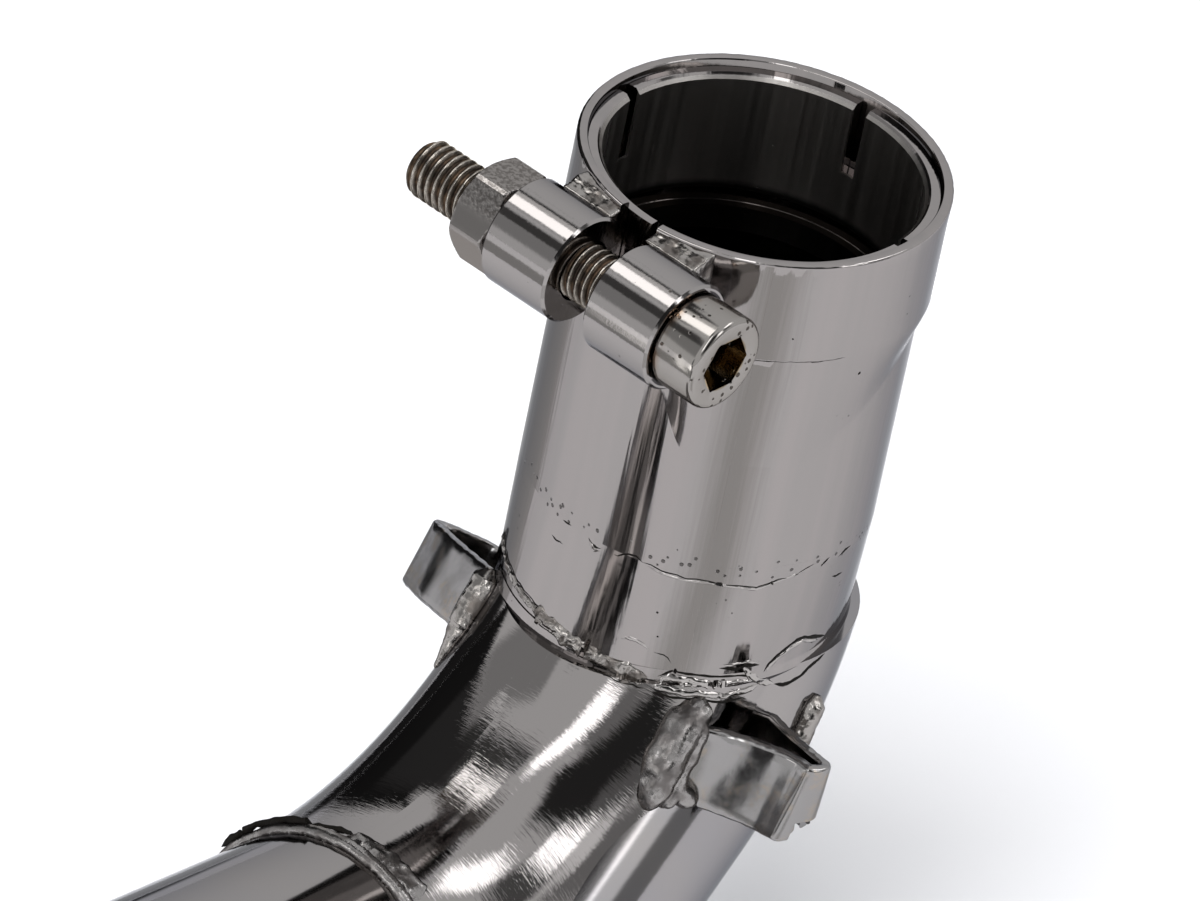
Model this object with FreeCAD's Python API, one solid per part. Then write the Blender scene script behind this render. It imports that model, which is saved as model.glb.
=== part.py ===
import FreeCAD
import Part
import math
import os

# Two-into-one exhaust link: a slotted clamp socket on top of a Y of two 41 mm branch pipes.
# Millimetres. The origin is the centre of the socket's mouth, +Z points up out of it,
# -Y points to the clamp's split and +X along the clamp screw towards its head.

os.makedirs("parts", exist_ok=True)
Vector = FreeCAD.Vector
up = Vector(0, 0, 1)

# Socket tube and the clamp band round its mouth
socket_bore_d = 41.8
socket_wall = 2.35
seat_wall = 1.9
mouth_drop = 1.1
mouth_bevel = 0.7
socket_length = 47.9
socket_lower_wall = 1.75
socket_corner = 0.4
slot_width = 2.1
slot_depth = 10.2
slot_count = 4
slot_turn = 5.5
stop_depth = 20.7
stop_height = 3.6
stop_lip = 0.8
groove_height = 2.2
groove_cut = 0.5
band_clearance = 0.15
band_wall = 1.45
band_height = 18.8
band_bevel = 0.45
band_taper_height = 3.5
band_taper = 1.0
band_gap = 6.3

# Clamp lugs, screw and nut
screw_d = 8.0
screw_length = 45.0
screw_end_bevel = 0.9
head_d = 13.0
head_height = 8.0
head_bevel = 0.9
hex_key = 6.0
hex_depth = 4.2
nut_key = 13.0
nut_height = 6.5
nut_bevel_d = 12.2
lug_d = 15.0
lug_length = 11.0
lug_hole_clearance = 0.3
lug_gap = 6.7
lug_shift = 1.0
lug_bevel = 0.35
counterbore_clearance = 0.35
counterbore_depth = 0.9
screw_reach = 30.2
screw_drop = 7.5
lug_weld_length = 8.0
lug_weld_bottom = 12.5
lug_weld_hollow_d = 9.0
lug_weld_dip = 0.8

# Round-to-oval section under the socket
section_length = 17.1
section_wall = 1.6
oval_narrowing = 2.6
oval_widening = 2.7
oval_shift_x = -0.2
oval_shift_y = -0.2
seam_half_width = 1.4
seam_depth = 1.1
junction_half_width = 1.8
junction_depth = 1.2
junction_drop = 2.2
junction_crown = 0.25
junction_lip = 0.3
junction_taper = 0.9

# Branch pipes
bend_d = 41.3
bend_wall = 1.5
left_pipe_step = 1.3
left_pipe_wall = 1.2
left_plane = 3.4
left_along = 2.5
left_side = 0.2
left_tilt_start = 23.3
left_tilt_end = 96.7
left_bend_radius = 59.7
left_run = 50.0
right_plane = 8.3
right_along = -3.3
right_side = 2.1
right_tilt_start = 11.2
right_tilt_end = 54.5
right_bend_radius = 36.8
right_run = 88.0
left_bead_d = 2.2

# Folded strap hooks on the bends. Angles go round the pipe from the inside of its bend.
strap = 1.9
strap_bury = 1.2
front_hook_width = 11.2
front_hook_tilt = 8.0
front_hook_station = 32.0
front_hook_start = -4.85
front_knee_radius = 1.35
front_knee_reach = 10.6
front_knee_angle = 69.0
front_root_angle = 42.5
front_root_lift = 1.5
front_back_angle = 77.5
notch_width = 2.6
notch_height = 3.0
notch_turn = 28.0
left_hook_width = 9.3
left_hook_tilt = 31.0
left_hook_station = 31.0
left_hook_start = 0.0
left_knee_radius = 4.75
left_knee_reach = 7.0
left_knee_angle = 94.0
left_root_angle = 51.5
left_root_lift = 0.85
left_back_angle = 118.0

# Welds of the hooks
pad_d = 5.4
pad_sink = 0.9
pad_top_tilt = 35.5
pad_top_angle = 58.0
pad_end_tilt = 46.5
pad_end_angle = 63.0
front_rear_top_tilt = 24.0
front_rear_end_tilt = 32.5
front_rear_angle = 91.0
left_bead_sink = 0.2
left_rear_turn = 7.0
hook_bead_d = 4.2
rear_bead_d = 3.4
bead_overhang = 0.5
bead_tip_reach = 0.36
bead_tip = 0.22
foot_length = 9.0
foot_tip_d = 1.2

# Worked out from the sizes above
socket_bore_r = socket_bore_d / 2
socket_r = socket_bore_r + socket_wall
oval_side = 2 * socket_r - oval_narrowing
oval_deep = 2 * socket_r + oval_widening
seat_r = socket_bore_r + seat_wall
band_inner_r = seat_r + band_clearance
band_r = band_inner_r + band_wall
socket_bottom = -mouth_drop - socket_length
junction_z = socket_bottom - section_length
bend_r = bend_d / 2
left_pipe_d = bend_d - left_pipe_step
overrun = 20.0


def rotated(shape, degrees, axis=up, centre=Vector(0, 0, 0)):
    turned = shape.copy()
    turned.rotate(centre, axis, degrees)
    return turned


def cylinder(radius, height, base, axis):
    return Part.makeCylinder(radius, height, base, axis)


def revolved(points):
    """A solid turned about the socket's axis from (radius, height) points."""
    outline = [Vector(r, 0, z) for r, z in points]
    face = Part.Face(Part.makePolygon(outline + outline[:1]))
    return face.revolve(Vector(0, 0, 0), up, 360)


def box(x_low, x_high, y_low, y_high, z_low, z_high):
    size = (x_high - x_low, y_high - y_low, z_high - z_low)
    return Part.makeBox(*size, Vector(x_low, y_low, z_low))


def hexagon_prism(across_flats, length, base, axis, turn=0.0):
    side = Vector(0, 0, 1)
    other = axis.cross(side)
    corner_r = across_flats / math.sqrt(3)
    corners = []
    for k in range(6):
        a = math.radians(60 * k + turn)
        corners.append(base + side * (corner_r * math.cos(a)) + other * (corner_r * math.sin(a)))
    face = Part.Face(Part.makePolygon(corners + corners[:1]))
    return face.extrude(axis * length)


# Socket and band

def socket_tube():
    groove_r = socket_bore_r + groove_cut
    stop_r = socket_bore_r - stop_lip
    lower_r = socket_r - socket_lower_wall
    seat_bottom = -band_height - socket_corner
    profile = [
        (socket_bore_r + mouth_bevel, -mouth_drop),
        (seat_r, -mouth_drop),
        (seat_r, seat_bottom + socket_corner),
        (socket_r, seat_bottom),
        (socket_r, socket_bottom),
        (lower_r, socket_bottom),
        (lower_r, -stop_depth - stop_height - stop_lip),
        (stop_r, -stop_depth - stop_height),
        (stop_r, -stop_depth),
        (groove_r, -stop_depth),
        (groove_r, -stop_depth + groove_height),
        (socket_bore_r, -stop_depth + groove_height),
        (socket_bore_r, -mouth_drop - mouth_bevel),
    ]
    tube = revolved(profile)
    slot = box(-slot_width / 2, slot_width / 2, -band_r, 0, -mouth_drop - slot_depth, 1)
    for k in range(slot_count):
        tube = tube.cut(rotated(slot, slot_turn + 360.0 / slot_count * k))
    return tube.cut(seam_tool())


def clamp_band():
    profile = [
        (band_inner_r, -band_height),
        (band_r - band_taper, -band_height),
        (band_r, -band_height + band_taper_height),
        (band_r, -band_bevel),
        (band_r - band_bevel, 0),
        (band_inner_r + band_bevel, 0),
        (band_inner_r, -band_bevel),
    ]
    band = revolved(profile)
    return band.cut(box(-band_gap / 2, band_gap / 2, -band_r - 1, 0, -band_height - 1, 1))


# Lugs, screw and nut, all on the screw's axis

screw_line = Vector(0, -screw_reach, -screw_drop)
across = Vector(1, 0, 0)
lug_inner = {+1: lug_shift + lug_gap / 2, -1: lug_shift - lug_gap / 2}
lug_outer = {+1: lug_inner[+1] + lug_length, -1: lug_inner[-1] - lug_length}
head_seat = lug_outer[+1] - counterbore_depth


def on_screw(x):
    return screw_line + across * x


def lug(side):
    start = min(lug_inner[side], lug_outer[side])
    body = cylinder(lug_d / 2, lug_length, on_screw(start), across)
    rims = [e for e in body.Edges if e.Curve.TypeId == "Part::GeomCircle"]
    body = body.makeChamfer(lug_bevel, rims)
    hole_r = screw_d / 2 + lug_hole_clearance
    body = body.cut(cylinder(hole_r, lug_length + 2, on_screw(start - 1), across))
    if side > 0:
        pocket_r = head_d / 2 + counterbore_clearance
        body = body.cut(cylinder(pocket_r, counterbore_depth + 1, on_screw(head_seat), across))
    return body.cut(cylinder(band_r, 4 * band_height, Vector(0, 0, -2 * band_height), up))


def lug_weld(side):
    near = side * band_gap / 2
    far = near + side * lug_weld_length
    low, high = min(near, far), max(near, far)
    block = box(low, high, -screw_reach, -socket_bore_r * 0.6, -lug_weld_bottom, -band_bevel)
    hollow_r = lug_weld_hollow_d / 2
    hollow_y = -(band_r + screw_reach) / 2 + hollow_r / 4
    hollow = cylinder(hollow_r, lug_weld_length + 2,
                      Vector(low - 1, hollow_y, hollow_r - band_bevel - lug_weld_dip), across)
    block = block.cut(hollow)
    block = block.cut(cylinder(band_r, 4 * band_height, Vector(0, 0, -2 * band_height), up))
    return block.cut(cylinder(lug_d / 2, 4 * lug_length, on_screw(-2 * lug_length), across))


def clamp_screw():
    shank = cylinder(screw_d / 2, screw_length, on_screw(head_seat), across * -1)
    tip = [e for e in shank.Edges
           if e.Curve.TypeId == "Part::GeomCircle" and e.CenterOfMass.x < head_seat - 1]
    shank = shank.makeChamfer(screw_end_bevel, tip)
    head = cylinder(head_d / 2, head_height, on_screw(head_seat), across)
    face = [e for e in head.Edges
            if e.Curve.TypeId == "Part::GeomCircle" and e.CenterOfMass.x > head_seat + 1]
    head = head.makeChamfer(head_bevel, face)
    socket = hexagon_prism(hex_key, hex_depth + 1, on_screw(head_seat + head_height - hex_depth), across)
    return shank.fuse(head).removeSplitter().cut(socket)


def clamp_nut():
    start = lug_outer[-1] - nut_height
    body = hexagon_prism(nut_key, nut_height, on_screw(start), across, 30)
    corner_r = nut_key / math.sqrt(3)
    slope = (corner_r - nut_bevel_d / 2) * math.tan(math.radians(30))
    cone_r = corner_r + nut_height * math.sqrt(3)
    rounding = Part.makeCone(nut_bevel_d / 2, cone_r, (cone_r - nut_bevel_d / 2) / math.sqrt(3),
                             on_screw(start), across)
    body = body.common(rounding)
    rounding = Part.makeCone(nut_bevel_d / 2, cone_r, (cone_r - nut_bevel_d / 2) / math.sqrt(3),
                             on_screw(start + nut_height), across * -1)
    body = body.common(rounding)
    return body.cut(cylinder(screw_d / 2, nut_height + 2 * slope, on_screw(start - slope), across))


# Round-to-oval section, its seam to the socket and its bead to the branches

def ellipse_wire(side, deep, z):
    centre = Vector(oval_shift_x, oval_shift_y, z)
    ellipse = Part.Ellipse(centre + Vector(0, deep / 2, 0), centre + Vector(side / 2, 0, 0), centre)
    return Part.Wire([ellipse.toShape()])


def circle_wire(radius, z):
    circle = Part.Circle(Vector(0, 0, z), up, radius)
    circle.rotate(FreeCAD.Placement(Vector(0, 0, 0), FreeCAD.Rotation(up, 90)))
    return Part.Wire([circle.toShape()])


def section_core(shrink):
    top = circle_wire(socket_r - shrink, socket_bottom)
    bottom = ellipse_wire(oval_side - 2 * shrink, oval_deep - 2 * shrink, junction_z)
    return Part.makeLoft([top, bottom], True)


def seam_tool():
    """A vee cut round both parts at their seam."""
    outside = socket_r + seam_depth
    return revolved([
        (outside, socket_bottom + 2 * seam_half_width),
        (outside, socket_bottom - 2 * seam_half_width),
        (socket_r - seam_depth, socket_bottom),
    ])


def seam_weld():
    """The vee filled and ground flush with the socket above and the section below."""
    above = cylinder(socket_r, 2 * seam_half_width, Vector(0, 0, socket_bottom), up)
    return fused(above, section_core(0)).common(seam_tool())


def oval_section():
    shell = section_core(0).cut(section_core(section_wall))
    return shell.cut(seam_tool()).cut(junction_ring())


def junction_ring():
    """Swept round the oval: a groove's filling above the edge, a fillet over the pipes below it."""
    profile = [
        (0, junction_half_width),
        (junction_crown, 0),
        (junction_crown, -junction_lip),
        (-junction_taper, -junction_drop),
        (-junction_depth, -junction_drop),
        (-junction_depth, 0),
    ]
    edge = Vector(oval_shift_x, oval_shift_y + oval_deep / 2, junction_z)
    outline = Part.makePolygon([edge + Vector(0, y, z) for y, z in profile + profile[:1]])
    return ellipse_wire(oval_side, oval_deep, junction_z).makePipeShell([outline], True, True)


# Branch routes: an arc that turns from downwards towards the split, then a straight run

class Route:
    def __init__(self, plane, along, side, tilt_start, tilt_end, radius):
        a = math.radians(plane)
        self.ahead = Vector(math.sin(a), -math.cos(a), 0)
        self.side = Vector(math.cos(a), math.sin(a), 0)
        self.tilt_start = tilt_start
        self.tilt_end = tilt_end
        self.radius = radius
        self.start = self.ahead * along + self.side * side + up * junction_z
        self.centre = self.start + self.inward(tilt_start) * radius

    def tangent(self, tilt):
        t = math.radians(tilt)
        return self.ahead * math.sin(t) - up * math.cos(t)

    def inward(self, tilt):
        t = math.radians(tilt)
        return self.ahead * math.cos(t) + up * math.sin(t)

    def point(self, tilt):
        return self.centre - self.inward(tilt) * self.radius

    def disc(self, tilt, radius):
        circle = Part.Circle(self.point(tilt), self.tangent(tilt), radius)
        return Part.Face(Part.Wire([circle.toShape()]))

    def lead(self, radius):
        return self.disc(self.tilt_start, radius).extrude(self.tangent(self.tilt_start) * -overrun)

    def arc(self, radius):
        turn = self.tilt_end - self.tilt_start
        return self.disc(self.tilt_start, radius).revolve(self.centre, self.ahead.cross(up), turn)

    def run(self, radius, length):
        return self.disc(self.tilt_end, radius).extrude(self.tangent(self.tilt_end) * length)


left = Route(left_plane, left_along, left_side, left_tilt_start, left_tilt_end, left_bend_radius)
right = Route(right_plane, right_along, right_side, right_tilt_start, right_tilt_end, right_bend_radius)


def below_junction(shape):
    reach = 2 * (bend_d + overrun)
    return shape.cut(box(-reach, reach, -reach, reach, junction_z, junction_z + reach))


def fused(*shapes):
    return shapes[0].fuse(list(shapes[1:])).removeSplitter()


bend_bore_r = bend_r - bend_wall
left_outer = fused(left.lead(bend_r), left.arc(bend_r))
left_bore = fused(left.lead(bend_bore_r), left.arc(bend_bore_r))
right_outer = fused(right.lead(bend_r), right.arc(bend_r), right.run(bend_r, right_run))
right_bore = fused(right.lead(bend_bore_r), right.arc(bend_bore_r), right.run(bend_bore_r, right_run + 1))
left_run_outer = left.run(left_pipe_d / 2, left_run)
left_run_bore = left.run(left_pipe_d / 2 - left_pipe_wall, left_run + 1)
pipes = [left_outer, right_outer]


def left_bend():
    return below_junction(left_outer.cut(left_bore)).cut(right_outer)


def left_pipe():
    return left_run_outer.cut(left_run_bore).cut(right_outer)


def right_pipe():
    return below_junction(right_outer.cut(right_bore)).cut([left_bore, left_run_bore])


def left_bead():
    """A low six-sided ring round the end of the left bend."""
    centre = left.point(left_tilt_end)
    out = left.inward(left_tilt_end)
    on = left.tangent(left_tilt_end)
    outline = []
    for k in range(7):
        spot = polar(60 * k, left_bead_d / 2)
        outline.append(centre + out * (left_pipe_d / 2 + spot.x) + on * spot.y)
    ring = Part.Face(Part.makePolygon(outline)).revolve(centre, on, 360)
    return ring.cut([left_outer, left_run_outer, right_outer])


def junction_weld():
    return junction_ring().cut([below_junction(shape) for shape in pipes])


# Hooks: a strap that leaves the pipe, folds back round a knee and returns to the pipe

def polar(angle, radius):
    a = math.radians(angle)
    return Vector(radius * math.sin(a), radius * math.cos(a), 0)


def turned(direction, degrees):
    a = math.radians(degrees)
    c, s = math.cos(a), math.sin(a)
    return Vector(direction.x * c - direction.y * s, direction.x * s + direction.y * c, 0)


class Hook:
    """A strap drawn in the plane across the pipe: x away from the pipe's side, y to the inside of its bend."""

    def __init__(self, route, hand, station, tilt, start, width, knee, knee_radius, front, back):
        self.side = route.side * hand
        self.out = route.inward(tilt)
        self.along = route.tangent(tilt)
        self.base = route.point(station) + self.along * start
        self.width = width
        self.knee = knee
        self.knee_radius = knee_radius
        self.front = front
        self.back = back

    def place(self, point, along=0.0):
        return self.base + self.side * point.x + self.out * point.y + self.along * along

    def normal(self, root, hand):
        """The unit vector from the knee's centre to where the leg from root touches the knee."""
        line = root - self.knee
        away = Vector(line).normalize()
        return turned(away, hand * math.degrees(math.acos(self.knee_radius / line.Length)))

    def edge(self, shift):
        """Five points of the strap's route, shifted out of the loop: root, knee's three, root."""
        first = self.normal(self.front, -1)
        last = self.normal(self.back, +1)
        middle = Vector(first + last).normalize()
        if middle.x < 0:
            middle = middle * -1
        radius = self.knee_radius + shift
        points = [self.front + first * shift]
        points += [self.knee + d * radius for d in (first, middle, last)]
        points.append(self.back + last * shift)
        return [self.place(p) for p in points]

    def solid(self):
        outer = self.edge(strap / 2)
        inner = self.edge(-strap / 2)
        outline = []
        for p in (outer, inner):
            outline.append(Part.LineSegment(p[0], p[1]).toShape())
            outline.append(Part.Arc(p[1], p[2], p[3]).toShape())
            outline.append(Part.LineSegment(p[3], p[4]).toShape())
        outline.append(Part.LineSegment(outer[0], inner[0]).toShape())
        outline.append(Part.LineSegment(outer[4], inner[4]).toShape())
        face = Part.Face(Part.Wire(Part.__sortEdges__(outline)))
        return face.extrude(self.along * self.width)


front_hook = Hook(right, +1, front_hook_station, front_hook_tilt, front_hook_start, front_hook_width,
                  polar(front_knee_angle, bend_r + front_knee_reach), front_knee_radius,
                  polar(front_root_angle, bend_r + front_root_lift), polar(front_back_angle, bend_r - strap_bury))
left_hook = Hook(left, -1, left_hook_station, left_hook_tilt, left_hook_start, left_hook_width,
                 polar(left_knee_angle, bend_r + left_knee_reach), left_knee_radius,
                 polar(left_root_angle, bend_r + left_root_lift), polar(left_back_angle, bend_r - strap_bury))


def notch():
    """The square cut in the front hook's knee, at its lower end."""
    away = turned(Vector(1, 0, 0), notch_turn)
    across_cut = turned(away, 90)
    corner = front_hook.knee + across_cut * (-notch_width / 2)
    far = corner + away * (front_knee_radius + 2 * strap)
    outline = [corner, far, far + across_cut * notch_width, corner + across_cut * notch_width, corner]
    outline = [front_hook.place(p, front_hook_width - notch_height) for p in outline]
    return Part.Face(Part.makePolygon(outline)).extrude(front_hook.along * 2 * notch_height)


def front_strap():
    return front_hook.solid().cut(notch()).cut(pipes)


def left_strap():
    return left_hook.solid().cut(pipes).cut(junction_ring())


# Welds of the hooks

def on_pipe(route, tilt, angle, radius):
    spot = polar(angle, radius)
    return route.point(tilt) + route.side * spot.x + route.inward(tilt) * spot.y


def bead(start, end, diameter):
    """A round bar from start to end that runs on as a blunt cone at both ends."""
    line = Vector(end - start).normalize()
    reach = diameter * bead_tip_reach
    tip_r = diameter * bead_tip
    bar = cylinder(diameter / 2, (end - start).Length, start, line)
    last = Part.makeCone(diameter / 2, tip_r, reach, end, line)
    first = Part.makeCone(diameter / 2, tip_r, reach, start, line * -1)
    return fused(bar, first, last)


def root_bead(hook, root, diameter):
    tip = diameter * bead_tip_reach
    return bead(hook.place(root, tip), hook.place(root, hook.width - tip + bead_overhang), diameter)


def front_weld():
    start = on_pipe(left, pad_top_tilt, pad_top_angle, bend_r - pad_sink)
    end = on_pipe(left, pad_end_tilt, pad_end_angle, bend_r - pad_sink)
    return bead(start, end, pad_d).cut(pipes).cut(front_hook.solid())


def front_rear_weld():
    start = on_pipe(right, front_rear_top_tilt, front_rear_angle, bend_r)
    end = on_pipe(right, front_rear_end_tilt, front_rear_angle, bend_r)
    return bead(start, end, rear_bead_d).cut(pipes).cut(front_hook.solid())


def left_weld():
    """A bead along the outer leg's root, running out below it as a thin foot."""
    root = left_hook.front - Vector(left_hook.front).normalize() * left_bead_sink
    ridge = root_bead(left_hook, root, hook_bead_d)
    top = left_hook.place(root, left_hook_width - hook_bead_d / 2)
    foot = Part.makeCone(hook_bead_d / 2, foot_tip_d / 2, foot_length, top, left_hook.along)
    trimmed = fused(ridge, foot).cut(pipes).cut([left_hook.solid(), junction_ring()])
    return max(trimmed.Solids, key=lambda solid: solid.Volume)


def left_rear_weld():
    ridge = root_bead(left_hook, polar(left_back_angle + left_rear_turn, bend_r), rear_bead_d)
    return ridge.cut(pipes).cut(left_hook.solid())


nodes = {
    "socket_tube": socket_tube(),
    "clamp_band": clamp_band(),
    "lug_nut_side": lug(-1),
    "lug_head_side": lug(+1),
    "lug_weld_nut_side": lug_weld(-1),
    "lug_weld_head_side": lug_weld(+1),
    "clamp_screw": clamp_screw(),
    "clamp_nut": clamp_nut(),
    "socket_seam_weld": seam_weld(),
    "oval_section": oval_section(),
    "left_bend": left_bend(),
    "left_pipe": left_pipe(),
    "left_seam_weld": left_bead(),
    "right_pipe": right_pipe(),
    "junction_weld": junction_weld(),
    "front_hook": front_strap(),
    "front_hook_weld": front_weld(),
    "front_hook_rear_weld": front_rear_weld(),
    "left_hook": left_strap(),
    "left_hook_weld": left_weld(),
    "left_hook_rear_weld": left_rear_weld(),
}

for name, shape in nodes.items():
    solids = shape.Solids
    solid = solids[0] if len(solids) == 1 else Part.makeCompound(solids)
    print(name, len(solids), round(shape.Volume, 1), solid.isValid())
    solid.exportStep("parts/" + name + ".step")
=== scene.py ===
import bpy
import bmesh
import math
import random
from functools import partial
from mathutils import Matrix, Vector, noise
from mathutils.bvhtree import BVHTree


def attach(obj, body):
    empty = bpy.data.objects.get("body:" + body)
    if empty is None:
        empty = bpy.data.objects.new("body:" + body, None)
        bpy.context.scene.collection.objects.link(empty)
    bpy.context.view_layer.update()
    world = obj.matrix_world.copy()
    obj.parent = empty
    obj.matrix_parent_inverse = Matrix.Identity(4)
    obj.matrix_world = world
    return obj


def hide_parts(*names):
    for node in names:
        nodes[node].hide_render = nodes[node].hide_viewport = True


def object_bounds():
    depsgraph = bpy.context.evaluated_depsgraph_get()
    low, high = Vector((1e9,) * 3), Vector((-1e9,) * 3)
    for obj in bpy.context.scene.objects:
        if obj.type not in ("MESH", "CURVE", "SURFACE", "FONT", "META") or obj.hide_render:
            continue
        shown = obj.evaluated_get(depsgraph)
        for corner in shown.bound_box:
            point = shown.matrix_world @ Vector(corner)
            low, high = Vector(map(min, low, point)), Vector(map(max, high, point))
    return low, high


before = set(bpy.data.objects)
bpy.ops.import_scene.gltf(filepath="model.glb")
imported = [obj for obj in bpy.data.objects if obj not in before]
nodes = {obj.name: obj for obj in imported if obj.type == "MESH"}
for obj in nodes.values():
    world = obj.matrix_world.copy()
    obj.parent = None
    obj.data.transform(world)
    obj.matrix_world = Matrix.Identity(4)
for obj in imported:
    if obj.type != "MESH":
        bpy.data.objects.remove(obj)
cadBox = [list(corner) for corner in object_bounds()]
print("loaded", len(nodes), "nodes")

# Camera at the photograph's angle, from above the clamp's split
view = dict(azimuth=36.2, elevation=33.5, roll=11.86, distance=1.8, lens=424.4,
            shiftRight=21.145e-3, shiftUp=37.15e-3)


def makeCamera(v):
    az, el, roll = (math.radians(v[k]) for k in ("azimuth", "elevation", "roll"))
    back = Vector((math.sin(az) * math.cos(el), -math.cos(az) * math.cos(el), math.sin(el)))
    right = Vector((math.cos(az), math.sin(az), 0))
    up = back.cross(right)
    rolledRight = right * math.cos(roll) + up * math.sin(roll)
    rolledUp = up * math.cos(roll) - right * math.sin(roll)
    data = bpy.data.cameras.new("photoCamera")
    data.lens = v["lens"]
    data.sensor_width = 36
    data.clip_end = 20
    cam = bpy.data.objects.new("photoCamera", data)
    bpy.context.scene.collection.objects.link(cam)
    turn = Matrix((rolledRight, rolledUp, back)).transposed()
    place = back * v["distance"] - rolledRight * v["shiftRight"] - rolledUp * v["shiftUp"]
    cam.matrix_world = Matrix.Translation(place) @ turn.to_4x4()
    bpy.context.scene.camera = cam


makeCamera(view)
bpy.context.scene.view_settings.view_transform = "Standard"
print("camera set")


def linear(hexColour):
    channels = [int(hexColour[k:k + 2], 16) / 255 for k in (0, 2, 4)]
    return tuple(c / 12.92 if c <= 0.04045 else ((c + 0.055) / 1.055) ** 2.4 for c in channels) + (1.0,)


def feed(node, inputs):
    # links each input that is given a socket and sets the others; text is a hex colour
    for key, value in inputs.items():
        socket = node.inputs[key]
        if isinstance(value, bpy.types.NodeSocket):
            node.id_data.links.new(value, socket)
        else:
            socket.default_value = linear(value) if isinstance(value, str) else value


def addNode(tree, kind, *values, out=0, **named):
    # values go to the first inputs in order; a name is a setting, an input's name or, as i6, its number
    node = tree.nodes.new("ShaderNode" + kind)
    inputs = dict(enumerate(values))
    for key, value in named.items():
        if hasattr(node, key):
            setattr(node, key, value)
        elif key[0] == "i" and key[1:].isdigit():
            inputs[int(key[1:])] = value
        else:
            inputs[key.replace("_", " ")] = value
    feed(node, inputs)
    return node.outputs[out] if node.outputs else None


# settings that many nodes share
times, plus, minus = (dict(operation=name) for name in ("MULTIPLY", "ADD", "SUBTRACT"))
smooth = dict(interpolation_type="SMOOTHSTEP")
colours = dict(data_type="RGBA", out=2)


# Studio: soft boxes and dark flags far away, drawn on the world by direction
studio = dict(
    level=0.95, colour="fcfdff",
    # azimuth from -Y towards +X (low, high), elevation (low, high), level, softness; in degrees
    patches=[
        (-76, -18, 14, 49.5, 0.46, 3),
        (-66, -54, 41, 51, 1.15, 0.8),
        (-112, -62, 45, 79, 0.08, 4),
        (-62, 22, 68, 79, 0.09, 4),
        (-126.5, -77, -16, 46, 0.02, 1.5),
        (-116, -78, 20, 62, 0.05, 3),
        (44, 62, 16, 46, 0.34, 2.5),
        (100, 121, -14, 17, 0.34, 3),
        (59, 96, 8, 59, 0.04, 3),
        (84, 98, 8, 30, 0.22, 2.5),
        (112, 131, 22, 42, 0.16, 2.5),
        (30, 45, 30, 71, 4.2, 1.5),
        (98, 111, 17, 41, 4.2, 1.5),
        (96, 113, 13, 24, 1.4, 1.5),
        (122, 160, 43.5, 56, 4.2, 1.5),
    ],
)


def makeWorld(s):
    world = bpy.data.worlds.new("studio")
    world.use_nodes = True
    bpy.context.scene.world = world
    tree = world.node_tree
    tree.nodes.clear()
    ray = addNode(tree, "TexCoord", out="Generated")
    x, y, z = addNode(tree, "SeparateXYZ", ray, out=slice(3))
    azimuth = addNode(tree, "Math", x, addNode(tree, "Math", y, -1.0, **times), operation="ARCTAN2")
    elevation = addNode(tree, "Math", z, operation="ARCSINE")
    level = s["level"]
    for azLow, azHigh, elLow, elHigh, patchLevel, soft in s["patches"]:
        masks = []
        edge = math.radians(soft)
        for angle, low, high in ((azimuth, azLow, azHigh), (elevation, elLow, elHigh)):
            middle, half = math.radians((low + high) / 2), math.radians((high - low) / 2)
            away = addNode(tree, "Math", addNode(tree, "Math", angle, middle, **minus), operation="ABSOLUTE")
            masks.append(addNode(tree, "MapRange", away, half - edge, half + edge, 1.0, 0.0, **smooth))
        mask = addNode(tree, "Math", *masks, **times)
        level = addNode(tree, "Mix", mask, i2=level, i3=patchLevel, data_type="FLOAT")
    addNode(tree, "OutputWorld", addNode(tree, "Background", s["colour"], level))


makeWorld(studio)


def stageMesh(name, points, faces, material):
    mesh = bpy.data.meshes.new(name)
    mesh.from_pydata(points, [], faces)
    mesh.materials.append(material)
    obj = bpy.data.objects.new(name, mesh)
    bpy.context.scene.collection.objects.link(obj)
    return obj


ground = dict(clearance=0.0015, size=6.0, colour="d8d8da", roughness=0.9)
floorLevel = cadBox[0][2] - ground["clearance"]


def makeFloor(g):
    material = bpy.data.materials.new("paleFloor")
    material.use_nodes = True
    shader = material.node_tree.nodes["Principled BSDF"]
    feed(shader, {"Base Color": g["colour"], "Roughness": g["roughness"], "Specular IOR Level": 0.0})
    h = g["size"] / 2
    corners = [(-h, -h, floorLevel), (h, -h, floorLevel), (h, h, floorLevel), (-h, h, floorLevel)]
    stageMesh("floor", corners, [(0, 1, 2, 3)], material)


makeFloor(ground)

# Reflector cards near the part: only mirror reflections see them
cards = dict(
    # upright, at y: x low, x high, z low, z high, level; in mm
    upright=[
        (-160, -60, -44, -66, -12, 2.2),
        (-160, -36, 18, -38, -15, 3.6),
        (-160, -14, 12, -13, 20, 0.02),
        (-160, 30, 56, -30, -10, 0.02),
        (-160, 62, 88, -110, -42, 0.02),
    ],
    # level, above the clamp: x low, x high, y low, y high, z, level
    overhead=[
        (-50, 12, -46, -32.5, 34, 3.4),
        (-50, 12, -33, -26, 34, 1.15),
        (-55, 0, -76, -57, 34, 0.10),
    ],
    # flat sectors just above the floor: azimuth low, high in degrees, radius low, high in mm, level,
    # soft edge in degrees
    sectors=[
        (-142, -76, 140, 300, 0.74, 1.5),
        (44, 70, 140, 300, 0.78, 9),
        (-158, -147, 224, 284, 3.6, 1),
        (-126, -84, 340, 2900, 0.03, 2),
        (-58, 24, 292, 700, 0.50, 4),
    ],
    lift=1.0, sectorSteps=24,
)


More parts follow.
